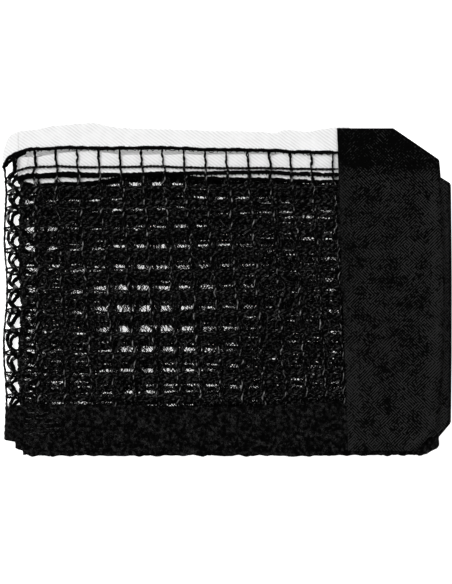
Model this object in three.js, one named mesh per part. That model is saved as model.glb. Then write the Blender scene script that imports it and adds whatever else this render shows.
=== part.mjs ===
// A table tennis net, folded for storage: a black mesh with a white tape along its top edge, a dense
// knitted band along its bottom edge and a cloth sleeve at each end that a net post slides into.
//
// The net is halved three times, so that eight panels lie on each other. Panels are numbered along
// the net, from the end with the upper sleeve to the end with the lower one. Four nested folds are
// on the left and three on the right. The pack opens like a book about its left folds.
//
// Millimetres. +X runs along the net, towards the sleeves, +Y towards the white tape, and +Z out of
// the surface that the pack lies on. The origin is at the middle of the pack's underside.

import * as THREE from 'three';

// Driving dimensions.
const netHeight = 152.5;
const packWidth = 208.8;
const layerThickness = 1.9;
const gap = 0.3;

const tapeHeight = 11.4;
const bandHeight = 20.8;
const foldedNetWidth = 202.3;
const cellPitch = 9.85;
const cellRows = 13;
const cordWidth = 1.6;

const sleeve = {
  left: 51.3,
  width: 49.9,
  top: 75,
  ply: 0.8,
  seamWidth: 6.5,
  lean: 5.2,
  shoulderWidth: 24,
  shoulderHeight: 14.5,
};
const upperSleeve = { shiftX: 0, shiftY: 0, height: 149.2, bow: 2.8, cutWidth: 13.8, cutHeight: 11.5 };
const lowerSleeve = { shiftX: 3.2, shiftY: -10.9, height: 132, bow: 0.4, cutWidth: 6, cutHeight: 6.5 };

// The panels from the top of the pack to its underside, and how far each one's tape lies below the
// uppermost tape. The mesh of a lower tape is slack, so all bottom edges are level.
const layers = [
  { panel: 1, drop: 0 },
  { panel: 8, drop: 10.2 },
  { panel: 5, drop: 13.4 },
  { panel: 4, drop: 4 },
  { panel: 3, drop: 4 },
  { panel: 6, drop: 7 },
  { panel: 7, drop: 8.5 },
  { panel: 2, drop: 0 },
];
const leftFolds = [[1, 2], [8, 7], [5, 6], [4, 3]];
const rightFolds = [[5, 4], [3, 2], [6, 7]];

// Sizes that follow from them.
const pitch = layerThickness + gap;
const packHeight = layers.length * pitch - gap;
const middle = packHeight / 2;
const netTop = netHeight / 2;
const netBottom = -netHeight / 2;
const leftEdge = -packWidth / 2;
const rightEdge = leftEdge + foldedNetWidth;
const foldInset = 0.2;
const leftFoldX = leftEdge + middle - foldInset;
const arcSegments = 10;
const outermostPanels = [1, 2];

// Where each sleeve lies, and where each panel ends: at its sleeve, or where its right fold begins.
const placeOf = ({ shiftX, shiftY, ...shape }) => ({
  left: sleeve.left + shiftX,
  top: sleeve.top + shiftY,
  ...shape,
});
const upperSleevePlace = placeOf(upperSleeve);
const lowerSleevePlace = placeOf(lowerSleeve);
const frontPly = layerThickness - sleeve.ply;
const panelLeft = leftFoldX + gap;
const smallFoldEnd = { x: rightEdge - pitch - gap / 2 };
const nestedFoldEnd = { x: rightEdge - 2 * pitch - gap / 2 };
const panelEnds = {
  1: { x: upperSleevePlace.left - gap, sleeve: upperSleevePlace },
  8: { x: lowerSleevePlace.left - gap, sleeve: lowerSleevePlace },
  5: smallFoldEnd,
  4: smallFoldEnd,
  3: nestedFoldEnd,
  6: nestedFoldEnd,
  7: nestedFoldEnd,
  2: nestedFoldEnd,
};

const finishes = {
  tape: { color: 0xf1f1ef, roughness: 0.85 },
  net: { color: 0x121212, roughness: 0.9 },
  band: { color: 0x0d0d0d, roughness: 0.95 },
  twill: { color: 0x161616, roughness: 0.8 },
};

const pack = new THREE.Group();
pack.name = 'folded_net';

function addMesh(name, geometry, finish) {
  const material = new THREE.MeshStandardMaterial({ ...finishes[finish], metalness: 0 });
  const mesh = new THREE.Mesh(geometry, material);
  mesh.name = name;
  pack.add(mesh);
  return mesh;
}

// The place of a panel's layer: its underside and how far its tape lies below the uppermost one.
function layerOf(panel) {
  const index = layers.findIndex((layer) => layer.panel === panel);
  return { bottom: (layers.length - 1 - index) * pitch, drop: layers[index].drop };
}

// The three strips that the net is made of, as a name, a finish, a lower edge and an upper edge.
function stripsBelow(drop) {
  const tapeBottom = netTop - drop - tapeHeight;
  const bandTop = netBottom + bandHeight;
  return [
    { name: 'tape', finish: 'tape', low: tapeBottom, high: tapeBottom + tapeHeight },
    { name: 'net', finish: 'net', low: bandTop + gap, high: tapeBottom - gap },
    { name: 'band', finish: 'band', low: netBottom, high: bandTop },
  ];
}

// The right end of a panel at a height. A panel that is sewn to a sleeve ends along its leaning edge.
function rightEnd(panel, y) {
  const edge = panelEnds[panel];
  return edge.sleeve ? edge.x + (sleeve.lean * (edge.sleeve.top - y)) / edge.sleeve.height : edge.x;
}

function stripOutline(panel, strip) {
  const shape = new THREE.Shape();
  shape.moveTo(panelLeft, strip.low);
  shape.lineTo(rightEnd(panel, strip.low), strip.low);
  shape.lineTo(rightEnd(panel, strip.high), strip.high);
  shape.lineTo(panelLeft, strip.high);
  shape.closePath();
  return shape;
}

function extrude(outline, thickness) {
  return new THREE.ExtrudeGeometry(outline, {
    depth: thickness,
    bevelEnabled: false,
    curveSegments: arcSegments,
  });
}

// The open mesh of a panel. Pairs of lines up and across it are the two sides of each cord, so a
// span between two lines is an open cell where both its numbers are odd, and cord everywhere else.
function openMesh(panel, { low, high }) {
  const rowPitch = (high - low - cordWidth) / cellRows;
  const cellColumns = Math.round((rightEnd(panel, low) - panelLeft - cordWidth) / cellPitch);
  const linesUp = 2 * cellColumns + 2;
  const linesAcross = 2 * cellRows + 2;
  const points = [];
  for (const z of [0, layerThickness]) {
    for (let j = 0; j < linesAcross; j += 1) {
      const y = low + Math.floor(j / 2) * rowPitch + (j % 2) * cordWidth;
      for (let i = 0; i < linesUp; i += 1) {
        const fromLeft = panelLeft + Math.floor(i / 2) * cellPitch + (i % 2) * cordWidth;
        const fromRight = rightEnd(panel, y) - (i % 2 ? 0 : cordWidth);
        points.push(i < linesUp - 2 ? fromLeft : fromRight, y, z);
      }
    }
  }
  const isCord = (i, j) => {
    const inside = i >= 0 && j >= 0 && i < linesUp - 1 && j < linesAcross - 1;
    return inside && !(i % 2 && j % 2);
  };
  const below = (i, j) => j * linesUp + i;
  const above = (i, j) => below(i, j) + linesUp * linesAcross;
  const triangles = [];
  const addQuad = (a, b, c, d) => triangles.push(a, b, c, a, c, d);
  const addWall = (i, j, k, l) => addQuad(below(i, j), below(k, l), above(k, l), above(i, j));
  for (let j = 0; j < linesAcross - 1; j += 1) {
    for (let i = 0; i < linesUp - 1; i += 1) {
      if (!isCord(i, j)) continue;
      addQuad(above(i, j), above(i + 1, j), above(i + 1, j + 1), above(i, j + 1));
      addQuad(below(i, j), below(i, j + 1), below(i + 1, j + 1), below(i + 1, j));
      if (!isCord(i, j - 1)) addWall(i, j, i + 1, j);
      if (!isCord(i + 1, j)) addWall(i + 1, j, i + 1, j + 1);
      if (!isCord(i, j + 1)) addWall(i + 1, j + 1, i, j + 1);
      if (!isCord(i - 1, j)) addWall(i, j + 1, i, j);
    }
  }
  const geometry = new THREE.BufferGeometry();
  geometry.setAttribute('position', new THREE.Float32BufferAttribute(points, 3));
  geometry.setIndex(triangles);
  geometry.computeVertexNormals();
  return geometry;
}

// A flat panel of the net: a strip of tape, a strip of mesh and a strip of band. The cells are open
// in the outermost panels only, and the mesh of an inner panel is a plain sheet.
function addPanel(panel) {
  const layer = layerOf(panel);
  for (const strip of stripsBelow(layer.drop)) {
    const open = strip.name === 'net' && outermostPanels.includes(panel);
    const geometry = open
      ? openMesh(panel, strip)
      : extrude(stripOutline(panel, strip), layerThickness);
    addMesh(`${strip.name}_${panel}`, geometry, strip.finish).position.z = layer.bottom;
  }
}

// Half of a ring, whose open side faces the panels that it joins.
function halfRing(outer, inner, side) {
  const from = side === 'left' ? Math.PI / 2 : -Math.PI / 2;
  const shape = new THREE.Shape();
  shape.absarc(0, 0, outer, from, from + Math.PI, false);
  shape.absarc(0, 0, inner, from + Math.PI, from, true);
  shape.closePath();
  return shape;
}

// A fold of the net between two panels: the same three strips, bent round in half a ring.
function addFold(panels, side, x, inset) {
  const [first, second] = panels.map(layerOf);
  const high = Math.max(first.bottom, second.bottom) + layerThickness;
  const low = Math.min(first.bottom, second.bottom);
  const outer = (high - low) / 2 - inset;
  const inner = outer - layerThickness + 2 * inset;
  const drop = Math.max(first.drop, second.drop);
  const label = [...panels].sort().join('_');
  for (const strip of stripsBelow(drop)) {
    const geometry = extrude(halfRing(outer, inner, side), strip.high - strip.low);
    const mesh = addMesh(`${strip.name}_fold_${label}`, geometry, strip.finish);
    mesh.rotation.x = Math.PI / 2;
    mesh.position.set(x, strip.high, (high + low) / 2);
  }
}

// The outline of a sleeve's plies, without the sewn strip at its left: a sloping shoulder at the
// upper outer corner, a smaller cut at the lower one and an outer edge that bows out between them.
function sleeveOutline({ left, top, height, bow, cutWidth, cutHeight }) {
  const right = left + sleeve.width;
  const bottom = top - height;
  const inner = left + sleeve.seamWidth + gap;
  const shape = new THREE.Shape();
  shape.moveTo(inner, top);
  shape.lineTo(right - sleeve.shoulderWidth, top);
  shape.lineTo(right - bow, top - sleeve.shoulderHeight);
  shape.quadraticCurveTo(
    right + bow,
    (top + bottom) / 2,
    right - bow,
    bottom + cutHeight,
  );
  shape.lineTo(right - cutWidth, bottom);
  shape.lineTo(inner + sleeve.lean, bottom);
  shape.closePath();
  return shape;
}

// The strip along which both plies and the end of the net are sewn together. It leans as they do.
function seamOutline({ left, top, height }) {
  const bottom = top - height;
  const shape = new THREE.Shape();
  shape.moveTo(left, top);
  shape.lineTo(left + sleeve.seamWidth, top);
  shape.lineTo(left + sleeve.seamWidth + sleeve.lean, bottom);
  shape.lineTo(left + sleeve.lean, bottom);
  shape.closePath();
  return shape;
}

// A sleeve lies flat in its panel's layer. Its front and back plies are the walls of the pocket
// that the post slides into, which is open at the top and the bottom.
function addSleeve(name, panel, place) {
  const bottom = layerOf(panel).bottom;
  const outline = sleeveOutline(place);
  const seam = seamOutline(place);
  addMesh(`${name}_front`, extrude(outline, sleeve.ply), 'twill').position.z = bottom + frontPly;
  addMesh(`${name}_back`, extrude(outline, sleeve.ply), 'twill').position.z = bottom;
  addMesh(`${name}_seam`, extrude(seam, layerThickness), 'twill').position.z = bottom;
}

for (const { panel } of layers) {
  addPanel(panel);
}
for (const panels of leftFolds) {
  addFold(panels, 'left', leftFoldX, foldInset);
}
for (const panels of rightFolds) {
  addFold(panels, 'right', panelEnds[panels[0]].x + gap, 0);
}
addSleeve('upper_sleeve', 1, upperSleevePlace);
addSleeve('lower_sleeve', 8, lowerSleevePlace);

export default pack;
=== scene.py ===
"""The looks of a table tennis net, folded into a flat pack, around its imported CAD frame.

The net is one long cloth. Every soft piece is laid out flat, as a place s along the net, a height v
above its lower edge and a depth h off its middle, and is then folded along one path through the
eight panels. All lengths are in metres.
"""

import math

import bpy
import numpy as np
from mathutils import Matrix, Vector


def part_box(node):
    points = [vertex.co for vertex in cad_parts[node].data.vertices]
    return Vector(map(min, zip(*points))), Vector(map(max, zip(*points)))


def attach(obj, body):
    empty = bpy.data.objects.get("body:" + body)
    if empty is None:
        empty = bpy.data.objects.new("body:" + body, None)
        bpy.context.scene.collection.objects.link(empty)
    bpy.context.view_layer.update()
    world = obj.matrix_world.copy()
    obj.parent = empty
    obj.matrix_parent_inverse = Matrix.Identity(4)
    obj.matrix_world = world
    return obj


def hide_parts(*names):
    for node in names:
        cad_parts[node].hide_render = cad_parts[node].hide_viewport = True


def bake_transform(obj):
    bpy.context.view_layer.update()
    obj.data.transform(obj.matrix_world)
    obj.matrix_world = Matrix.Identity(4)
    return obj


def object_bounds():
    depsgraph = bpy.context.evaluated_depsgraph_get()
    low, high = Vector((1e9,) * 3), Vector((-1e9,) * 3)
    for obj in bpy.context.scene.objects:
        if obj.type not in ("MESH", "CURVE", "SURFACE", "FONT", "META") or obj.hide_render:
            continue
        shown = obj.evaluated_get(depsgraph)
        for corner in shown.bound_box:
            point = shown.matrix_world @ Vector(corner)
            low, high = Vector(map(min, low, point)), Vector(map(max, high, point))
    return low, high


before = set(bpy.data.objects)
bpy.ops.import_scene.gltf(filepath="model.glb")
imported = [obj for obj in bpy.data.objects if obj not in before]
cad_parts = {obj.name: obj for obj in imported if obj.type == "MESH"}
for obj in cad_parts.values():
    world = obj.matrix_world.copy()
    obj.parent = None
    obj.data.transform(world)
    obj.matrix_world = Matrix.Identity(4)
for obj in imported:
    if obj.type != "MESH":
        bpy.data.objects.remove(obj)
cad_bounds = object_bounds()

MM = 0.001
PANELS = range(1, 9)

# ---------------------------------------------------------------------------------------------
# Sizes from the frame
# ---------------------------------------------------------------------------------------------

GAP = 0.3 * MM  # between a CAD panel and the fold beside it
SHOULDER_RUN = 24 * MM  # the width over which the sleeve's top slopes down
NET_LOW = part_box("band_1")[0].y
NET_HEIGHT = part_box("tape_1")[1].y - NET_LOW
BAND_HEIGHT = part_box("band_1")[1].y - NET_LOW
TAPE_HEIGHT = NET_LOW + NET_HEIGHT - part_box("tape_1")[0].y
LEVELS = {panel: (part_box(f"net_{panel}")[0].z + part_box(f"net_{panel}")[1].z) / 2 for panel in PANELS}
PACK_LEFT = cad_bounds[0].x
FOLD_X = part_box("net_1")[0].x - GAP  # where the cloth starts to turn at the left
TURN_X = {
    2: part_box("net_2")[1].x + GAP,  # and at the right, after panels 2, 4 and 6
    4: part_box("net_4")[1].x + GAP,
    6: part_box("net_6")[1].x + GAP,
}
SHOULDER_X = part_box("upper_sleeve_front")[1].x - SHOULDER_RUN
TUCKED_IN = 2 * MM  # how far the ends of the net reach into their sleeves
START_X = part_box("net_1")[1].x + TUCKED_IN
END_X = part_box("net_8")[1].x + TUCKED_IN

TAPE_TOPS = {panel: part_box(f"tape_{panel}")[1].y for panel in PANELS}
DROP = {panel: (TAPE_TOPS[1] - top) / MM for panel, top in TAPE_TOPS.items()}

# ---------------------------------------------------------------------------------------------
# How the cloth lies: lengths in the tables are in millimetres
# ---------------------------------------------------------------------------------------------

CELL = 9.86 * MM  # from one upright cord to the next
ROW = 9.65 * MM  # from one cord along the net to the next
FIRST_ROW = 9.3 * MM  # the cells under the tape are shorter than the rest
UNDER_TAPE = 0.6 * MM  # how far below the tape the middle of the thick cord lies
TOP_CORD = NET_HEIGHT - TAPE_HEIGHT - UNDER_TAPE
SECOND_CORD = TOP_CORD - FIRST_ROW
ROWS = math.floor((SECOND_CORD - BAND_HEIGHT) / ROW)
FIRST_COLUMN = 8.3 * MM  # from the end of panel 1

# How far each panel's mesh is pushed up between the band and the tape.
LIFT = {1: 2.4, 2: -1.1, 3: 2.1, 4: 0.1, 5: -0.1, 6: -3.1, 7: -1.1, 8: 1.0}
# How much lower a panel's mesh hangs in its lower half.
LOW_SAG = {1: 0, 2: 0, 3: 0, 4: 0, 5: 0, 6: 1.2, 7: 0, 8: 0}
# The rise of a panel's cords towards the right, in millimetres for each metre.
TILT = {1: 0, 2: -20, 3: 40, 4: 52, 5: -5, 6: 0, 7: 18, 8: 10}
LEVEL_AT = -35 * MM  # where the tilted cords keep their height
# How much higher a panel's cords are at BOW_REACH from the middle of their bow, which ends at
# BOW_LIMIT times that.
BOW = {1: 1.1, 2: 0, 3: 0, 4: 0, 5: 0, 6: -0.7, 7: -3.7, 8: 0}
BOW_MIDDLE = -26 * MM
BOW_REACH = 46 * MM
BOW_LIMIT = 2.5
# How much higher a panel's tape is in the middle of its crest.
CREST = {1: 0, 2: 0, 3: 0, 4: -0.6, 5: 0.8, 6: 1.2, 7: 3.5, 8: 0}
CREST_MIDDLE = -33 * MM
CREST_REACH = 22 * MM
# How much lower a panel's tape is at the left, the x from which it sinks, and over what width.
LEFT_DROP = {1: 0, 2: 0, 3: 0, 4: 0, 5: 3.5, 6: 0, 7: 0, 8: 2.5}
LEFT_DROP_FROM = {1: 0, 2: 0, 3: 0, 4: 0, 5: -38, 6: 0, 7: 30, 8: 30}
LEFT_DROP_WIDTH = {1: 30, 2: 30, 3: 30, 4: 30, 5: 30, 6: 30, 7: 100, 8: 100}
# How far each panel's upright cords lie to the right of the uppermost ones.
COLUMN_SHIFT = {1: 0, 2: 0.5, 3: 0.9, 4: 0.2, 5: 3.1, 6: 3.2, 7: 2.1, 8: 0.4}
# How far the cloth is drawn in beside each panel's left fold, and how far the fold itself lies
# inside the line where the CAD panels end.
DRAWN_IN = {1: 0, 2: 0, 3: 0, 4: 0, 5: 2.2, 6: 2.2, 7: 2.5, 8: 2.5}
FOLD_INSET = {1: 0, 3: 3.6, 5: 2.0, 7: 1.8}
# The heights above the net's lower edge where its left edge steps in, going down, and how far.
CORNER_STEPS = [(6.4, 5.4), (2.6, 3.6)]
LEFT_INSET = 1.3 * MM  # how far the whole left edge lies inside the pack's left
SIDE_WIDTH = 30 * MM  # the width over which all that draws the left edge in fades out
# On the right, inside the sleeves, the folds reach out and their lower corners are cut.
RIGHT_REACH = 2 * MM
RIGHT_CUT = 6 * MM
RIGHT_CUT_HEIGHT = 2.6 * MM
RIGHT_FROM = 78 * MM
RIGHT_WIDTH = 22 * MM
LEAN = 0.066  # the upright cords lean to the right, going down
LEAN_GROWS_OVER = 45 * MM  # from the pack's left
LEAN_FADES_FROM = 22 * MM
LEAN_FADES_OVER = 80 * MM
DENSE_FROM = 43 * MM  # to the right of this x, the mesh is denser with stray strands
SHOULDER_SLOPE = 0.75  # the hidden corners sag under the sleeve's sloping shoulder
SAG_BEFORE = 4 * MM  # how far before the shoulder they start to

# Where each change of height takes hold, as shares of the net's height: its start, and the part
# over which it grows.
DROP_FROM, DROP_OVER = 0.64, 0.31
LIFT_OVER = 0.16  # the lift grows from the lower edge, and fades again towards the tape
LIFT_FADES_FROM, LIFT_FADES_OVER = 0.7, 0.25
LOW_SAG_FROM, LOW_SAG_OVER = 0.45, 0.25  # downwards
RISE_FROM = 0.7  # the rise of the thick cord grows up to the cord
SWAY_OVER = 0.1
SHOULDER_FROM, SHOULDER_OVER = 0.3, 0.5

# The rise of the tape's upper edge and of the cord under it, at distances from the pack's left.
EDGE_RISE = [(0, -13), (2, -5.8), (5.7, -3.5), (9.4, -2.5), (17, -1.6), (25, 0), (38, 1.1), (44, 1.6),
             (55, -0.7), (77, -1.6), (99, -2.5), (121, -2.5), (127, -3.6), (132, -1.6), (143, -2.8),
             (149, -1.6), (155, -0.7)]
CORD_RISE = [(0, -8), (2, -3.4), (6.5, -1), (12, 0.8), (18, 1.3), (23, 1.6), (29, 2.1), (40, 1.9),
             (46, 1.7), (73, 1.7), (84, 1.3), (95, 0.9), (123, 0.8), (128, 0.6), (134, 0), (151, -0.4)]


def smooth(t):
    t = np.clip(t, 0, 1)
    return t * t * (3 - 2 * t)


def ripple(a, b, scale, seed):
    """Smooth noise over a and b, mostly between -1 and 1, with bumps about one scale apart."""
    rng = np.random.default_rng(seed)
    waves = 7
    total = 0
    for _ in range(waves):
        turn = rng.uniform(0, 2 * math.pi)
        rate = 2 * math.pi / scale * rng.uniform(0.55, 1.5)
        start = rng.uniform(0, 2 * math.pi)
        total = total + np.sin(rate * (a * math.cos(turn) + b * math.sin(turn)) + start)
    return total / math.sqrt(waves)


def build_fold_path():
    """The line that the cloth follows through its panels and folds, seen from its lower edge.

    Returns the distance along it, its points in x and z, its normal at each point, and the
    distances at which each panel starts and ends. A fold moves by up to a quarter of a cell, so
    that the next panel's upright cords come to their places over the uppermost ones.
    """
    arc_points = 25
    panel_points = 100
    first_column_x = START_X - FIRST_COLUMN
    along = 0
    points = [(START_X, LEVELS[1])]
    ends = {}
    for panel in PANELS:
        side = -1 if panel % 2 == 1 else 1
        here = points[-1][0]
        if panel == 8:
            ends[panel] = (along, along + END_X - here)
            points += [(x, LEVELS[8]) for x in np.linspace(here, END_X, panel_points)[1:]]
            break
        far = FOLD_X + FOLD_INSET[panel] * MM if side < 0 else TURN_X[panel]
        radius = abs(LEVELS[panel + 1] - LEVELS[panel]) / 2
        next_start = along + abs(far - here) + math.pi * radius
        to_column = (FIRST_COLUMN - next_start) % CELL
        wanted = first_column_x + COLUMN_SHIFT[panel + 1] * MM
        miss = (wanted - (far - side * to_column) + CELL / 2) % CELL - CELL / 2
        far += miss / 2
        ends[panel] = (along, along + abs(far - here))
        points += [(x, LEVELS[panel]) for x in np.linspace(here, far, panel_points)[1:]]
        middle = (LEVELS[panel] + LEVELS[panel + 1]) / 2
        rise = LEVELS[panel] - middle
        for turn in np.linspace(0, math.pi, arc_points)[1:]:
            points.append((far + side * radius * math.sin(turn), middle + rise * math.cos(turn)))
        along = ends[panel][1] + math.pi * radius
    points = np.array(points)
    along = np.concatenate([[0], np.cumsum(np.linalg.norm(np.diff(points, axis=0), axis=1))])
    tangent = np.gradient(points, along, axis=0)
    tangent /= np.linalg.norm(tangent, axis=1)[:, None]
    normal = np.stack([tangent[:, 1], -tangent[:, 0]], axis=1)
    return along, points, normal, ends


PATH_S, PATH_XZ, PATH_NORMAL, PANEL_S = build_fold_path()
NET_LENGTH = PATH_S[-1]


def by_panel(values, s):
    """A value that is steady along each panel and changes evenly over its folds, in metres."""
    margin = 5 * MM
    places, levels = [], []
    for panel in PANELS:
        start, end = PANEL_S[panel]
        places += [start + margin, end - margin]
        levels += [values[panel] * MM] * 2
    return np.interp(s, places, levels)


def rise_at(points, x):
    """The rise from one of the tables above, with its corners rounded off."""
    places, rises = np.array(points).T * MM
    from_left = x - PACK_LEFT
    rounding = 1.2 * MM
    shifted = [np.interp(from_left + d, places, rises) for d in (-rounding, 0, rounding)]
    return sum(shifted) / len(shifted)


def cloth_normal(s):
    """The direction off the cloth's face at s."""
    x = np.interp(s, PATH_S, PATH_NORMAL[:, 0])
    z = np.interp(s, PATH_S, PATH_NORMAL[:, 1])
    return np.stack([x, 0 * x, z], axis=-1)


def pressed(s):
    """How thick the cloth stays: its two ends are pressed flat inside the sleeves' seams."""
    lost, flat_end, ease = 0.6, 10 * MM, 4 * MM
    from_end = np.minimum(s, NET_LENGTH - s)
    return 1 - lost * smooth((flat_end - from_end) / ease)


def cloth_y(s, v, x):
    """The height of the folded cloth, where its path is at x.

    The tape drops with its panel's upper edge, the mesh between the band and the tape is lifted,
    tilted and bowed, and the upper part sags under the sleeve's sloping shoulder.
    """
    share = v / NET_HEIGHT
    cord_share = TOP_CORD / NET_HEIGHT

    crest = by_panel(CREST, s) * np.exp(-(((x - CREST_MIDDLE) / CREST_REACH) ** 2))
    sunk = smooth((by_panel(LEFT_DROP_FROM, s) - x) / by_panel(LEFT_DROP_WIDTH, s))
    edge_drop = by_panel(DROP, s) - crest + by_panel(LEFT_DROP, s) * sunk
    drop = edge_drop * smooth((share - DROP_FROM) / DROP_OVER)

    in_body = smooth(share / LIFT_OVER) * (1 - smooth((share - LIFT_FADES_FROM) / LIFT_FADES_OVER))
    bowed = np.clip(((x - BOW_MIDDLE) / BOW_REACH) ** 2, 0, BOW_LIMIT)
    low_sag = by_panel(LOW_SAG, s) * smooth((LOW_SAG_FROM - share) / LOW_SAG_OVER)
    tilted = by_panel(TILT, s) * (x - LEVEL_AT)
    lift = by_panel(LIFT, s) + tilted + by_panel(BOW, s) * bowed - low_sag

    near_cord = smooth((share - RISE_FROM) / (cord_share - RISE_FROM))
    near_edge = smooth((share - cord_share) / (1 - cord_share))
    rise = rise_at(CORD_RISE, x) * near_cord * (1 - near_edge) + rise_at(EDGE_RISE, x) * near_edge
    sway = 0.35 * MM * ripple(s, v, 60 * MM, seed=11) * smooth(share / SWAY_OVER) * (1 - 0.7 * near_cord)
    past_shoulder = np.clip(x - SHOULDER_X + SAG_BEFORE, 0, None)
    sag = SHOULDER_SLOPE * past_shoulder * smooth((share - SHOULDER_FROM) / SHOULDER_OVER)
    return NET_LOW + v - drop + lift * in_body + rise + sway - sag


def cloth_x(s, v, x):
    """The x of the folded cloth, where its path is at x: it leans, and its two sides are drawn in."""
    from_left = x - PACK_LEFT
    grown = smooth(from_left / LEAN_GROWS_OVER)
    lean = LEAN * (TOP_CORD - v) * (grown * (1 - smooth((x - LEAN_FADES_FROM) / LEAN_FADES_OVER)))
    corner = sum(inset * MM * smooth((height * MM - v) / MM) for height, inset in CORNER_STEPS)
    left_inset = LEFT_INSET + 0.8 * MM * ripple(v, 0, 42 * MM, seed=13) + corner
    left_inset = left_inset + by_panel(DRAWN_IN, s)
    cut = RIGHT_CUT * np.clip(1 - v / RIGHT_CUT_HEIGHT, 0, 1)
    right_inset = (cut - RIGHT_REACH) * smooth((x - RIGHT_FROM) / RIGHT_WIDTH)
    return x + lean + left_inset * (1 - smooth(from_left / SIDE_WIDTH)) - right_inset


def fold_cloth(s, v, h):
    """Points of the flat cloth, folded into the pack."""
    h = h * pressed(s)
    x = np.interp(s, PATH_S, PATH_XZ[:, 0]) + h * np.interp(s, PATH_S, PATH_NORMAL[:, 0])
    z = np.interp(s, PATH_S, PATH_XZ[:, 1]) + h * np.interp(s, PATH_S, PATH_NORMAL[:, 1])
    return np.stack([cloth_x(s, v, x), cloth_y(s, v, x), z], axis=-1)


# ---------------------------------------------------------------------------------------------
# Meshes
# ---------------------------------------------------------------------------------------------


def make_piece(name, points, quads, materials, slots=None, flat_faces=0):
    """A mesh object of points and four-sided faces.

    slots gives each face's material, and flat_faces is how many of the last faces aren't smooth.
    """
    mesh = bpy.data.meshes.new(name)
    mesh.vertices.add(len(points))
    mesh.vertices.foreach_set("co", np.asarray(points, np.float32).ravel())
    mesh.loops.add(quads.size)
    mesh.loops.foreach_set("vertex_index", quads.astype(np.int32).ravel())
    mesh.polygons.add(len(quads))
    mesh.polygons.foreach_set("loop_start", np.arange(0, quads.size, 4, dtype=np.int32))
    for material in materials:
        mesh.materials.append(material)
    if slots is not None:
        mesh.polygons.foreach_set("material_index", np.asarray(slots, np.int32))
    mesh.update(calc_edges=True)
    mesh.polygons.foreach_set("use_smooth", np.arange(len(quads)) < len(quads) - flat_faces)
    mesh.update()
    piece = bpy.data.objects.new(name, mesh)
    bpy.context.scene.collection.objects.link(piece)
    return piece


def unit(vectors):
    return vectors / np.linalg.norm(vectors, axis=1)[:, None]


class Strands:
    """Many closed four-sided tubes, laid on the cloth, that become one mesh."""

    def __init__(self):
        self.points = []
        self.quads = []
        self.slots = []
        self.count = 0

    def add(self, s, v, h, radius, slot):
        s, v, h = np.broadcast_arrays(s, v, h)
        line = fold_cloth(s, v, h)
        tangent = unit(np.gradient(line, axis=0))
        first = unit(np.cross(tangent, cloth_normal(s)))
        second = np.cross(first, tangent)
        radius = (radius * pressed(s))[:, None]
        corners = [line + radius * d for d in (first, second, -first, -second)]
        points = np.stack(corners, axis=1).reshape(-1, 3)
        i = np.arange(len(line) - 1)[:, None] * 4
        j = np.arange(4)[None, :]
        k = (j + 1) % 4
        walls = np.stack([i + j, i + k, i + 4 + k, i + 4 + j], axis=-1).reshape(-1, 4)
        last = (len(line) - 1) * 4
        caps = np.array([[3, 2, 1, 0], [last, last + 1, last + 2, last + 3]])
        quads = np.concatenate([walls, caps])
        self.points.append(points)
        self.quads.append(quads + self.count)
        self.slots.append(np.full(len(quads), slot))
        self.count += len(points)

    def make(self, name, materials):
        points, quads = np.concatenate(self.points), np.concatenate(self.quads)
        return make_piece(name, points, quads, materials, np.concatenate(self.slots))


def shell(front, back):
    """The points and faces of a closed sheet between two grids of points of the same size.

    Its last faces are its rim, and their number is given too.
    """
    rows, columns = front.shape[:2]
    index = np.arange(rows * columns).reshape(rows, columns)
    a, b, c, d = index[:-1, :-1], index[:-1, 1:], index[1:, 1:], index[1:, :-1]
    top = np.stack([a, b, c, d], axis=-1).reshape(-1, 4)
    under = np.stack([a, d, c, b], axis=-1).reshape(-1, 4) + rows * columns
    rim = np.concatenate([index[0, :-1], index[:-1, -1], index[-1, :0:-1], index[:0:-1, 0]])
    turned = np.roll(rim, -1)
    walls = np.stack([turned, rim, rim + rows * columns, turned + rows * columns], axis=-1)
    points = np.concatenate([front.reshape(-1, 3), back.reshape(-1, 3)])
    return points, np.concatenate([top, under, walls]), len(walls)


# ---------------------------------------------------------------------------------------------
# Materials
# ---------------------------------------------------------------------------------------------


def grey(value):
    return (value, value, value)


def new_material(name, value, roughness, shine, sheen=0.0):
    material = bpy.data.materials.new(name)
    material.use_nodes = True
    shader = material.node_tree.nodes["Principled BSDF"]
    shader.inputs["Base Color"].default_value = (*grey(value), 1)
    shader.inputs["Roughness"].default_value = roughness
    shader.inputs["Specular IOR Level"].default_value = shine
    shader.inputs["Sheen Weight"].default_value = sheen
    shader.inputs["Sheen Roughness"].default_value = 0.5
    return material


def add_node(material, kind, inputs=None, **settings):
    node = material.node_tree.nodes.new(kind)
    for key, value in settings.items():
        setattr(node, key, value)
    for key, value in (inputs or {}).items():
        if isinstance(value, bpy.types.NodeSocket):
            material.node_tree.links.new(value, node.inputs[key])
        else:
            node.inputs[key].default_value = value
    return node


def add_bump(material, height, strength, distance):
    inputs = {"Height": height, "Strength": strength, "Distance": distance}
    bump = add_node(material, "ShaderNodeBump", inputs)
    shader = material.node_tree.nodes["Principled BSDF"]
    material.node_tree.links.new(bump.outputs["Normal"], shader.inputs["Normal"])


def add_color(material, factor, first, last, low=0.0, high=1.0):
    """The base colour, from the first grey where the factor is low to the last where it is high."""
    ramp = add_node(material, "ShaderNodeValToRGB", {"Fac": factor})
    ramp.color_ramp.elements[0].position = low
    ramp.color_ramp.elements[1].position = high
    ramp.color_ramp.elements[0].color = (*grey(first), 1)
    ramp.color_ramp.elements[1].color = (*grey(last), 1)
    shader = material.node_tree.nodes["Principled BSDF"]
    material.node_tree.links.new(ramp.outputs["Color"], shader.inputs["Base Color"])


PAINTED_EDGE_SHEEN = "painted_edge_sheen"  # a number at each point of a sleeve: how strong the painted highlight on its edges is
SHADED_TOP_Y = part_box("upper_sleeve_front")[1].y - 16 * MM  # above this height the twill is painted darker, a painted shade where its top slopes away from the light, and its ribs are faint


def place(material):
    """The piece's own coordinates, in metres."""
    return add_node(material, "ShaderNodeTexCoord").outputs["Object"]


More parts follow.
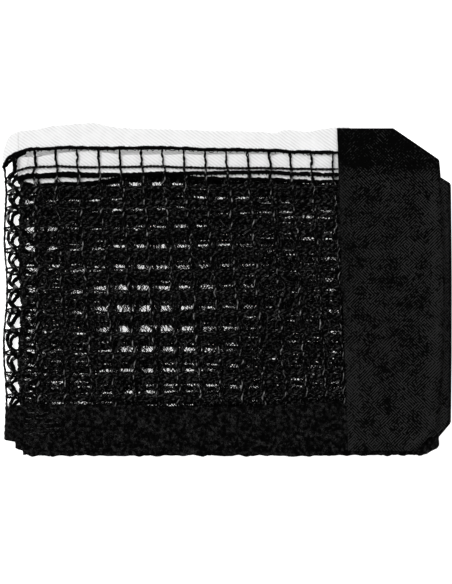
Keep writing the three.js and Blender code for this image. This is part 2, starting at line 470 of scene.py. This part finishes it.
def noise(material, vector, size, detail=3.0, distortion=0.0):
    """Noise with grains of about one size."""
    inputs = {"Vector": vector, "Scale": 1 / size, "Detail": detail, "Distortion": distortion}
    return add_node(material, "ShaderNodeTexNoise", inputs).outputs["Fac"]


def ridges(material, vector, pitch, turn, distortion=0.6):
    """Straight ridges a pitch apart, turned about Z."""
    turned = add_node(material, "ShaderNodeMapping", {"Vector": vector, "Rotation": (0, 0, turn)})
    inputs = {
        "Vector": turned.outputs["Vector"],
        "Scale": math.pi / 10 / pitch,
        "Distortion": distortion,
        "Detail": 1.0,
    }
    return add_node(material, "ShaderNodeTexWave", inputs, bands_direction="X").outputs["Fac"]


def combine(material, operation, a, b):
    return add_node(material, "ShaderNodeMath", {0: a, 1: b}, operation=operation).outputs["Value"]


def yarn_material(name, dark, light, size, low):
    """Spun yarn: uneven in colour, with fine fibres. Light spots are about one size."""
    material = new_material(name, dark, roughness=0.9, shine=0.025)
    vector = place(material)
    add_color(material, noise(material, vector, size), dark, light, low, high=0.7)
    add_bump(material, noise(material, vector, 0.35 * MM), strength=0.7, distance=0.1 * MM)
    return material


def tape_material():
    """White cotton tape in a plain weave."""
    material = new_material("white_cotton_tape", 0.8, roughness=0.9, shine=0.2)
    vector = place(material)
    warp = ridges(material, vector, 0.62 * MM, math.radians(8))
    weft = ridges(material, vector, 0.55 * MM, math.radians(98))
    weave = combine(material, "MULTIPLY", warp, weft)
    add_bump(material, weave, strength=0.5, distance=0.12 * MM)
    slant = ridges(material, vector, 1.3 * MM, math.radians(-55), distortion=1.5)
    shade = combine(material, "MULTIPLY", slant, noise(material, vector, 5 * MM, detail=4.0))
    add_color(material, shade, first=0.86, last=0.71, low=0.1, high=0.6)
    return material


def knit_material():
    """Dense black warp knit, with the fibres of its stitches tangled."""
    material = new_material("black_warp_knit", 0.004, roughness=0.9, shine=0.03)
    vector = place(material)
    wales = ridges(material, vector, 1.05 * MM, 0, distortion=2.0)
    courses = ridges(material, vector, 0.8 * MM, math.pi / 2, distortion=2.0)
    stitches = combine(material, "MULTIPLY", wales, courses)
    fuzz = noise(material, vector, 0.9 * MM, detail=3.0, distortion=2.5)
    height = combine(material, "ADD", stitches, fuzz)
    add_bump(material, height, strength=0.8, distance=0.2 * MM)
    tangle = combine(material, "ABSOLUTE", combine(material, "SUBTRACT", fuzz, 0.5), 0)
    speckle = noise(material, vector, 1.6 * MM, detail=2.0)
    bright = combine(material, "SUBTRACT", speckle, combine(material, "MULTIPLY", tangle, 4.0))
    add_color(material, bright, first=0.0002, last=0.035, low=0.36, high=0.64)
    return material


def twill_material():
    """Black polyester twill. Its ribs run both ways in patches. Its upper end is darker with faint ribs, a
    painted shade where it slopes away from the light, and its edges get a painted highlight beside the
    fold and on the seam.
    """
    material = new_material("black_twill", 0.006, roughness=0.8, shine=0.03)
    vector = place(material)
    rising = ridges(material, vector, 1.02 * MM, math.radians(45))
    falling = ridges(material, vector, 1.02 * MM, math.radians(-45))
    patches = noise(material, vector, 5 * MM, detail=4.0, distortion=0.5)
    share = add_node(
        material, "ShaderNodeMapRange", {"Value": patches, "From Min": 0.42, "From Max": 0.58}
    ).outputs["Result"]
    difference = combine(material, "SUBTRACT", rising, falling)
    weave = combine(material, "ADD", falling, combine(material, "MULTIPLY", difference, share))
    add_bump(material, weave, strength=0.7, distance=0.12 * MM)
    # painted shade: the twill's colour is darker towards its upper end, where it slopes away from the
    # light
    height = add_node(material, "ShaderNodeSeparateXYZ", {"Vector": vector}).outputs["Y"]
    painted_top_shade = add_node(
        material,
        "ShaderNodeMapRange",
        {"Value": height, "From Min": SHADED_TOP_Y, "From Max": SHADED_TOP_Y - 9 * MM, "To Min": 0.55},
    ).outputs["Result"]
    # painted highlight: the colour is lighter beside the sleeve's rounded fold and on its seam's lower
    # half; with the painted shade above, it scales the weave's colour
    painted_edge_sheen = add_node(material, "ShaderNodeAttribute", attribute_name=PAINTED_EDGE_SHEEN).outputs["Fac"]
    painted_light = combine(material, "ADD", painted_top_shade, painted_edge_sheen)
    clouds = noise(material, vector, 8 * MM, detail=4.0)
    sparkle = noise(material, vector, 1.1 * MM, detail=2.0)
    squared = combine(material, "MULTIPLY", sparkle, sparkle)
    uneven = combine(material, "MULTIPLY", combine(material, "MULTIPLY", clouds, squared), 10.0)
    lit_weave = combine(material, "MULTIPLY", weave, combine(material, "MULTIPLY", painted_light, uneven))
    add_color(material, lit_weave, first=0.0002, last=0.0175, low=0.62, high=1.5)
    return material


MATERIALS = {
    "dark": yarn_material("black_yarn", 0.0002, 0.0025, size=1.1 * MM, low=0.35),
    "middle": yarn_material("charcoal_yarn", 0.0012, 0.07, size=1.1 * MM, low=0.47),
    # painted highlight: a lighter yarn for the uppermost strands, in place of the light they catch
    "light": yarn_material("yarn_painted_glint", 0.003, 0.26, size=2.0 * MM, low=0.47),
    "tape": tape_material(),
    "knit": knit_material(),
    "twill": twill_material(),
}
YARNS = [MATERIALS["dark"], MATERIALS["middle"], MATERIALS["light"]]
DARK, MIDDLE, LIGHT = range(3)

# ---------------------------------------------------------------------------------------------
# The net: its stretches between the left folds, and the left folds
# ---------------------------------------------------------------------------------------------

# The CAD panels and folds of each part of the net.
PARTS = {
    "1": ["1"],
    "fold_1_2": ["fold_1_2"],
    "2_3": ["2", "fold_2_3", "3"],
    "fold_3_4": ["fold_3_4"],
    "4_5": ["4", "fold_4_5", "5"],
    "fold_5_6": ["fold_5_6"],
    "6_7": ["6", "fold_6_7", "7"],
    "fold_7_8": ["fold_7_8"],
    "8": ["8"],
}
UPPERMOST = ["1", "fold_1_2"]
IN_FRONT_HALF = ["1", "4_5", "8"]
STRETCHES = [
    ("1", "fold_1_2"),
    ("2_3", "fold_3_4"),
    ("4_5", "fold_5_6"),
    ("6_7", "fold_7_8"),
    ("8", None),
]  # with the left fold that follows each


def is_fold(part):
    return part.startswith("fold")


def panels_of(part):
    """The first and last panel of a stretch, or the panels before and after a fold."""
    panels = [int(panel) for panel in part.removeprefix("fold_").split("_")]
    return panels[0], panels[-1]


def span_of(part):
    """Where a part of the net starts and ends along it."""
    first, last = panels_of(part)
    if is_fold(part):
        return PANEL_S[first][1], PANEL_S[last][0]
    return PANEL_S[first][0], PANEL_S[last][1]


def steps_along(part, fine, coarse):
    """Places along a part of the net, closer together where it shows."""
    start, end = span_of(part)
    step = fine if part in UPPERMOST else coarse
    return np.linspace(start, end, int((end - start) / step) + 2)


def place_on_pack(piece, part, layer):
    """A stretch rides on its half of the pack, and a left fold, which lies between the halves, stays where
    it is.
    """
    if is_fold(part):
        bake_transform(piece)
    else:
        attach(piece, "front_half" if part in IN_FRONT_HALF else "rear_half")
    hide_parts(*[f"{layer}_{node}" for node in PARTS[part]])


# How much higher the cords of the second and third row lie inside the pack than on panel 1.
RAISED_INSIDE = {1: 0.9, 2: 0.45}


def cord_height(row, s):
    """How high a cord along the net lies. Inside the pack, the cells under the tape are shorter."""
    if row == 0:
        return TOP_CORD + 0 * s
    inside = smooth((s - PANEL_S[2][0]) / CELL)
    raised = RAISED_INSIDE.get(row, 0) * MM
    return SECOND_CORD - ROW * (row - 1) + raised * inside


# How thick each cord is on panel 1, from the tape down, and what is added inside the pack. The last
# is for all the rest. A thickness of 1 has strands of STRAND_RADIUS, STRAND_SPREAD off its middle.
CORD_THICKNESS = [(1.8, 0.3), (1.2, 0.9), (1, 1), (1, 0.7)]
THICKER_AT_LEFT = 0.9  # what is added to the thick cord of panel 8, near the pack's left
THICK_UP_TO = 35 * MM  # from the pack's left
THICK_FADES_OVER = 25 * MM
STRAND_RADIUS = 0.34 * MM
STRAND_SPREAD = 0.28 * MM
TWIST = 3.4 * MM  # the length of one turn of a cord's strands


def add_cords_across(part):
    """The cords along the net: a thick one under the tape and a thinner one at each row."""
    s = steps_along(part, fine=0.6 * MM, coarse=0.8 * MM)
    inside = smooth((s - PANEL_S[2][0]) / CELL)  # pressed flatter below the first panel
    from_left = np.interp(s, PATH_S, PATH_XZ[:, 0]) - PACK_LEFT
    on_last = smooth((s - PANEL_S[7][1]) / (PANEL_S[8][0] - PANEL_S[7][1]))
    at_left = on_last * (1 - smooth((from_left - THICK_UP_TO) / THICK_FADES_OVER))
    strands = Strands()
    for row in range(ROWS + 2):
        v = cord_height(row, s)
        thin, extra = CORD_THICKNESS[min(row, len(CORD_THICKNESS) - 1)]
        thick = thin + extra * inside + (THICKER_AT_LEFT * at_left if row == 0 else 0)
        count = 3 if row == 0 else 2
        loose = 0.4 if row < 2 else 1
        wander = 0.15 * MM * ripple(s, row, 6 * MM, seed=100 + row)
        wander = loose * (wander + 0.3 * MM * ripple(s, row, 33 * MM, seed=150 + row))
        for strand in range(count):
            turn = 2 * math.pi * (s / TWIST + strand / count) + row
            spread = thick * STRAND_SPREAD
            seed = 200 + 10 * row + strand
            radius = thick * STRAND_RADIUS * (1 + 0.14 * ripple(s, row, 2.6 * MM, seed))
            slot = DARK if row == 0 or strand == 0 else MIDDLE
            strands.add(s, v + wander + spread * np.cos(turn), spread * np.sin(turn), radius, slot)
    return strands.make(f"mesh_cords_across_{part}", YARNS)


def fold_side(s):
    """Towards which side the nearest left fold lies: 1 further along the net, -1 back, 0 there."""
    ease = 4 * MM
    middles = np.array([(PANEL_S[panel][1] + PANEL_S[panel + 1][0]) / 2 for panel in FOLD_INSET])
    nearest = middles[np.argmin(np.abs(middles - s))]
    return np.clip((nearest - s) / ease, -1, 1)


def columns_of(part):
    """The numbers of the upright cords on a part of the net."""
    start, end = span_of(part)
    return range(math.ceil((start - FIRST_COLUMN) / CELL), math.ceil((end - FIRST_COLUMN) / CELL))


def add_strays(strands, column, count, s, v, slack):
    """Fine strands that wander off an upright cord, inside the pack."""
    reach, reach_in_depth, radius = 3.2 * MM, 0.5 * MM, 0.16 * MM
    for stray in range(count):
        seed = 4000 + 6 * column + stray
        astray = reach * ripple(v, stray, 15 * MM, seed) * slack
        depth = reach_in_depth * ripple(v, stray, 9 * MM, seed=5 + column)
        strands.add(s + astray, v, depth, radius, MIDDLE)


def add_cords_up(part):
    """The upright cords, from the band to the tape: loose chains of fine strands, and stray ones."""
    top = part in UPPERMOST
    step = 0.8 * MM if top else 1.1 * MM
    count = 3 if top else 2
    twist = 5.3 * MM
    bulge = 4 * MM  # of a cord beside a left fold, towards it
    in_band = 1.5 * MM
    v = np.arange(BAND_HEIGHT - in_band, TOP_CORD + step / 2, step)
    in_cell = np.abs(np.sin(math.pi * (SECOND_CORD - v) / ROW)) * (v < SECOND_CORD)
    slack = smooth((TOP_CORD - v) / (12 * MM))
    strands = Strands()
    for column in columns_of(part):
        rng = np.random.default_rng(1000 + column)
        s = FIRST_COLUMN + column * CELL
        x = np.interp(s, PATH_S, PATH_XZ[:, 0])
        at_fold = 1 - smooth((x - PACK_LEFT - 10 * MM) / (8 * MM))
        to_fold = fold_side(s)
        bow = (0.35 * MM * rng.uniform(-1, 1) + bulge * at_fold * to_fold) * in_cell
        heavy = 1 + 1.9 * at_fold * abs(to_fold)
        sway = 0.4 * MM * ripple(v, column, 16 * MM, seed=1)
        sway = sway + 0.22 * MM * ripple(v, column, 5 * MM, seed=2)
        forked = rng.random() < 0.4  # just under the tape
        split = 0.6 * MM * np.exp(-(TOP_CORD - v) / (2 * MM)) * forked
        for strand in range(count):
            seed = 3000 + 10 * column + strand
            turn = 2 * math.pi * (v / twist + strand / count + rng.random() / 2)
            spread = 0.3 * MM * (1 + 0.5 * ripple(v, column, 7 * MM, seed)) + split
            radius = 0.3 * MM * heavy * (1 + 0.25 * ripple(v, column, 2.4 * MM, seed + 5))
            place_s = s + bow + sway * slack + spread * np.cos(turn)
            depth = 0.7 * spread * np.sin(turn)
            # painted highlight: below the second cord, one strand of each uppermost upright cord takes the
            # lighter yarn, in place of the light it catches; under the tape it stays dark
            if top and strand == 1:
                painted_light = v < SECOND_CORD
                strands.add(place_s[painted_light], v[painted_light], depth[painted_light] + 0.1 * MM, radius[painted_light], LIGHT)
                strands.add(place_s[~painted_light], v[~painted_light], depth[~painted_light], radius[~painted_light], DARK)
            else:
                strands.add(place_s, v, depth, radius, MIDDLE if strand == 1 else DARK)
        if not top:
            strays = 7 if x > DENSE_FROM else 5
            add_strays(strands, column, strays, s + bow, v, slack)
    return strands.make(f"mesh_cords_up_{part}", YARNS)


def add_fringe(part):
    """Small loops of the knit, along the lower side of each cord and, inside the pack, above it."""
    top = part in UPPERMOST
    loop = 3.0 * MM if top else 1.8 * MM
    loop_height = (0.35 if top else 0.5) * MM
    radius = 0.17 * MM if top else 0.27 * MM
    s = steps_along(part, fine=0.24 * MM, coarse=0.5 * MM)
    strands = Strands()
    for row in range(ROWS + 2):
        if top and row == 1:
            continue  # the second cord is smooth
        v = cord_height(row, s)
        away = 1.15 * MM if row == 0 else 0.85 * MM
        sides = (-1,) if top or row == 0 else (-1, 1)
        for side in sides:
            seed = 400 + 10 * row + side
            turn = 2 * math.pi * s / loop + 1.2 * ripple(s, row, 5 * MM, seed)
            size = loop_height * (1 + 0.4 * ripple(s, row, 4 * MM, seed + 1000))
            across = 0.5 * MM * np.sin(turn)
            depth = 0.3 * MM * ripple(s, row, 2.2 * MM, seed + 2000)
            height = v + side * away + size * np.cos(turn)
            strands.add(s + across, height, depth, radius, MIDDLE if row else DARK)
    return strands.make(f"mesh_fringe_{part}", YARNS)


def add_mesh(part):
    """The open mesh of a part of the net. The smallest folds have no upright cord."""
    pieces = [add_cords_across(part), add_fringe(part)]
    if columns_of(part):
        pieces.append(add_cords_up(part))
    for piece in pieces:
        place_on_pack(piece, part, "net")
    return pieces


def strip_grid(part, step, heights):
    """Places along and up a strip of cloth on a part of the net."""
    start, end = span_of(part)
    s = np.linspace(start, end, int((end - start) / step) + 3)
    return np.meshgrid(s, heights, indexing="ij")


def add_strip(name, s, v, depth, lift, material):
    """A closed strip of cloth, lifted off the cloth's middle. Depth is half of its thickness."""
    points, quads, rim = shell(fold_cloth(s, v, lift - depth), fold_cloth(s, v, lift + depth))
    return make_piece(name, points, quads, [material], flat_faces=rim)


def add_tape(part):
    """White tape, folded over the upper edge and sewn down, slightly puckered."""
    step = 0.8 * MM if part in UPPERMOST else 1.5 * MM
    low = TOP_CORD + 0.4 * MM
    bend = 1.2 * MM
    half = 0.58 * MM  # of its thickness
    thinnest = 0.02
    flat_part = np.linspace(low, NET_HEIGHT - bend, 14)
    round_part = np.linspace(NET_HEIGHT - bend, NET_HEIGHT, 7)[1:]
    heights = np.concatenate([flat_part, round_part])
    from_bend = np.clip((heights - NET_HEIGHT + bend) / bend, 0, 1)
    depth = half * np.sqrt(np.clip(1 - from_bend**2, thinnest, 1))
    s, v = strip_grid(part, step, heights)
    pucker = 0.16 * MM * ripple(s, 0.35 * v, 7 * MM, seed=31)
    pucker = pucker + 0.1 * MM * ripple(s, v, 3.2 * MM, seed=32)
    edge = 0.14 * MM * ripple(s, 0, 11 * MM, seed=33) * (v > NET_HEIGHT - 3 * MM)
    piece = add_strip(f"tape_strip_{part}", s, v + edge, depth, pucker, MATERIALS["tape"])
    place_on_pack(piece, part, "tape")
    return [piece]


def add_loose_ribs():
    """Short ribs of yarn that stand out on the band, beside the uppermost fold."""
    lowest, pitch, count = 9 * MM, 1.95 * MM, 6
    fold = PANEL_S[1][1]
    start, end = fold - 15 * MM, fold - 1 * MM
    strands = Strands()
    for rib in range(count):
        s = np.arange(start, end, 0.3 * MM)
        v = lowest + pitch * rib + 0.25 * MM * ripple(s, rib, 4 * MM, seed=61)
        depth = 0.72 * MM + 0.2 * MM * ripple(s, rib, 1.7 * MM, seed=62)
        radius = 0.24 * MM * (1 + 0.5 * ripple(s, rib, 1.5 * MM, seed=63))
        strands.add(s, v, depth, radius, MIDDLE)
    piece = strands.make("band_loose_ribs", YARNS)
    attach(piece, "front_half")
    return piece


def add_band(part):
    """The dense knitted band, with a low scallop at each cord along its lower edge."""
    step = 0.5 * MM if part in UPPERMOST else 1.0 * MM
    step_up = 1.3 * step
    half = 0.45 * MM  # of its thickness
    s, v = strip_grid(part, step, np.linspace(0, BAND_HEIGHT, int(BAND_HEIGHT / step_up)))
    phase = (s - FIRST_COLUMN) / CELL
    scallop = 0.55 * MM * np.abs(np.sin(math.pi * phase)) * (1 - smooth(v / (3 * MM)))
    ragged = 0.3 * MM * ripple(s, 0, 6 * MM, seed=42) * (1 - smooth(v / (4 * MM)))
    ribs = 0.16 * MM * np.sin(2 * math.pi * s / (1.1 * MM)) * np.cos(2 * math.pi * v / (1.7 * MM))
    bumps = 0.14 * MM * ripple(s, v, 3.1 * MM, seed=41) + ribs
    height = v + scallop + ragged - 0.5 * MM
    piece = add_strip(f"band_strip_{part}", s, height, half, bumps, MATERIALS["knit"])
    place_on_pack(piece, part, "band")
    return [piece, add_loose_ribs()] if part == "1" else [piece]


YARN_SHARE = 0.36  # of the mesh's area that is yarn

# How each layer of the net is made, its height, and the share of its area that is cloth.
NET_LAYERS = [
    (add_mesh, TOP_CORD - BAND_HEIGHT, YARN_SHARE),
    (add_tape, NET_HEIGHT - TOP_CORD, 1),
    (add_band, BAND_HEIGHT, 1),
]


def add_net():
    """The net: each layer of each stretch, and of the left fold that follows it."""
    for part, fold in STRETCHES:
        for add_layer, height, share in NET_LAYERS:
            sheet, *others = add_layer(part)
            if fold:
                others += add_layer(fold)


# ---------------------------------------------------------------------------------------------
# Sleeves
# ---------------------------------------------------------------------------------------------


def outline_side(node, side, y):
    """The x of a CAD plate's left or right side at each y, from its own corners."""
    farther = max if side == "right" else min
    corners = {}
    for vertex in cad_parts[node].data.vertices:
        height = round(vertex.co.y, 5)
        corners[height] = farther(corners.get(height, vertex.co.x), vertex.co.x)
    heights = sorted(corners)
    return np.interp(y, heights, [corners[height] for height in heights])


def sleeve_section(count):
    """Points round a sleeve, from its seam over its front, its fold and its back.

    Each has its share of the way from the seam to the fold, and its turn about the fold.
    """
    turn_points = 9
    back_count = count // 2
    share = np.concatenate([np.linspace(0, 1, count), np.ones(turn_points), np.linspace(1, 0, back_count)])
    turn = np.concatenate([np.zeros(count), np.linspace(0, 1, turn_points), np.ones(back_count)]) * math.pi
    return share[:, None], turn[:, None]


def add_painted_edge_sheen(piece, y, from_fold, from_seam):
    """Marks a painted highlight on a sleeve's edges: beside its rounded fold, and on its seam's lower
    half.
    """
    near_fold = np.exp(-(((from_fold + 4 * MM) / (2.5 * MM)) ** 2))
    at_fold = 0.7 * near_fold * smooth((SHADED_TOP_Y - y) / (8 * MM))
    at_seam = 0.35 * smooth(-from_seam / MM) * smooth(-y / (30 * MM))
    painted_edge_sheen = np.tile((at_fold + at_seam).ravel(), 2)
    attribute = piece.data.attributes.new(PAINTED_EDGE_SHEEN, "FLOAT", "POINT")
    attribute.data.foreach_set("value", painted_edge_sheen.astype(np.float32))


def add_sleeve(name, step):
    """A post pocket: one piece of twill, folded at its outer edge and sewn along its inner one."""
    front_low, front_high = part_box(f"{name}_front")
    back_low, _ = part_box(f"{name}_back")
    seam_width = 6.5 * MM
    cloth = 0.55 * MM
    y = np.linspace(front_low.y, front_high.y, int((front_high.y - front_low.y) / step))
    left = outline_side(f"{name}_seam", "left", y)
    right = outline_side(f"{name}_front", "right", y)
    top = front_high.z - cloth / 2
    bottom = back_low.z + cloth / 2
    radius = (top - bottom) / 2
    share, turn = sleeve_section(int((right.max() - left.min()) / step))
    out_x, out_z = np.sin(turn), np.cos(turn)
    x = left + share * (right - radius - left) + radius * out_x
    z = bottom + radius + radius * out_z + 0 * x
    grid_y = np.broadcast_to(y, x.shape)
    from_seam = x - left - seam_width
    rumple = 0.25 * MM * ripple(x, grid_y, 45 * MM, seed=51)
    rumple = rumple + 0.12 * MM * ripple(x, grid_y, 14 * MM, seed=52)
    stitch_depth, stitch_width = 0.3 * MM, 0.7 * MM
    stitch_line = -stitch_depth * np.exp(-((from_seam / stitch_width) ** 2))
    seam_edge = 0.18 * MM * (1 - smooth(from_seam / (1.2 * MM)))
    z = z + rumple + (stitch_line + seam_edge) * out_z
    half = cloth / 2
    outer = np.stack([x + half * out_x, grid_y, z + half * out_z], axis=-1)
    inner = np.stack([x - half * out_x, grid_y, z - half * out_z], axis=-1)
    points, quads, rim = shell(outer, inner)
    piece = make_piece(name, points, quads, [MATERIALS["twill"]], flat_faces=rim)
    # a painted highlight along the sleeve's fold and seam
    add_painted_edge_sheen(piece, grid_y, x - right, from_seam)
    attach(piece, "front_half")
    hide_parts(f"{name}_front", f"{name}_back", f"{name}_seam")


# ---------------------------------------------------------------------------------------------
# Floor, light and camera
# ---------------------------------------------------------------------------------------------


def add_camera():
    """Straight above the pack, which fills the picture's width."""
    picture_shape = 584 / 452  # the picture's height over its width
    lens, sensor = 120, 36
    aim_y = -0.7 * MM
    seen_height = (cad_bounds[1].x - cad_bounds[0].x) * picture_shape
    camera = bpy.data.objects.new("camera", bpy.data.cameras.new("camera"))
    camera.data.lens = lens
    camera.data.sensor_width = sensor
    camera.location = (0, aim_y, cad_bounds[1].z + seen_height * lens / sensor)
    bpy.context.scene.collection.objects.link(camera)
    bpy.context.scene.camera = camera


def add_floor():
    """A pale table that glows a little, so that it shows white through the mesh."""
    half = 1.5
    clearance = 0.4 * MM
    z = cad_bounds[0].z - clearance
    points = np.array([[-half, -half, z], [half, -half, z], [half, half, z], [-half, half, z]])
    material = new_material("pale_floor", 0.85, roughness=0.9, shine=0.1)
    shader = material.node_tree.nodes["Principled BSDF"]
    shader.inputs["Emission Color"].default_value = (*grey(1), 1)
    shader.inputs["Emission Strength"].default_value = 0.75
    make_piece("floor", points, np.array([[0, 1, 2, 3]]), [material])


def add_light(name, location, size, power):
    light = bpy.data.objects.new(name, bpy.data.lights.new(name, "AREA"))
    light.data.size = size
    light.data.energy = power
    light.location = location
    light.rotation_euler = (-Vector(location)).to_track_quat("-Z", "Y").to_euler()
    bpy.context.scene.collection.objects.link(light)


def add_lights():
    add_light("key", (-0.5, 0.4, 1.5), size=0.6, power=13.5)
    add_light("fill", (0.7, -0.3, 1.4), size=1.2, power=4.5)
    world = bpy.data.worlds.new("studio")
    world.use_nodes = True
    background = world.node_tree.nodes["Background"]
    background.inputs["Color"].default_value = (*grey(1), 1)
    background.inputs["Strength"].default_value = 0.5
    bpy.context.scene.world = world
    bpy.context.scene.view_settings.view_transform = "Standard"


add_camera()
add_floor()
add_lights()
add_net()
add_sleeve("upper_sleeve", 0.7 * MM)
add_sleeve("lower_sleeve", 1.0 * MM)
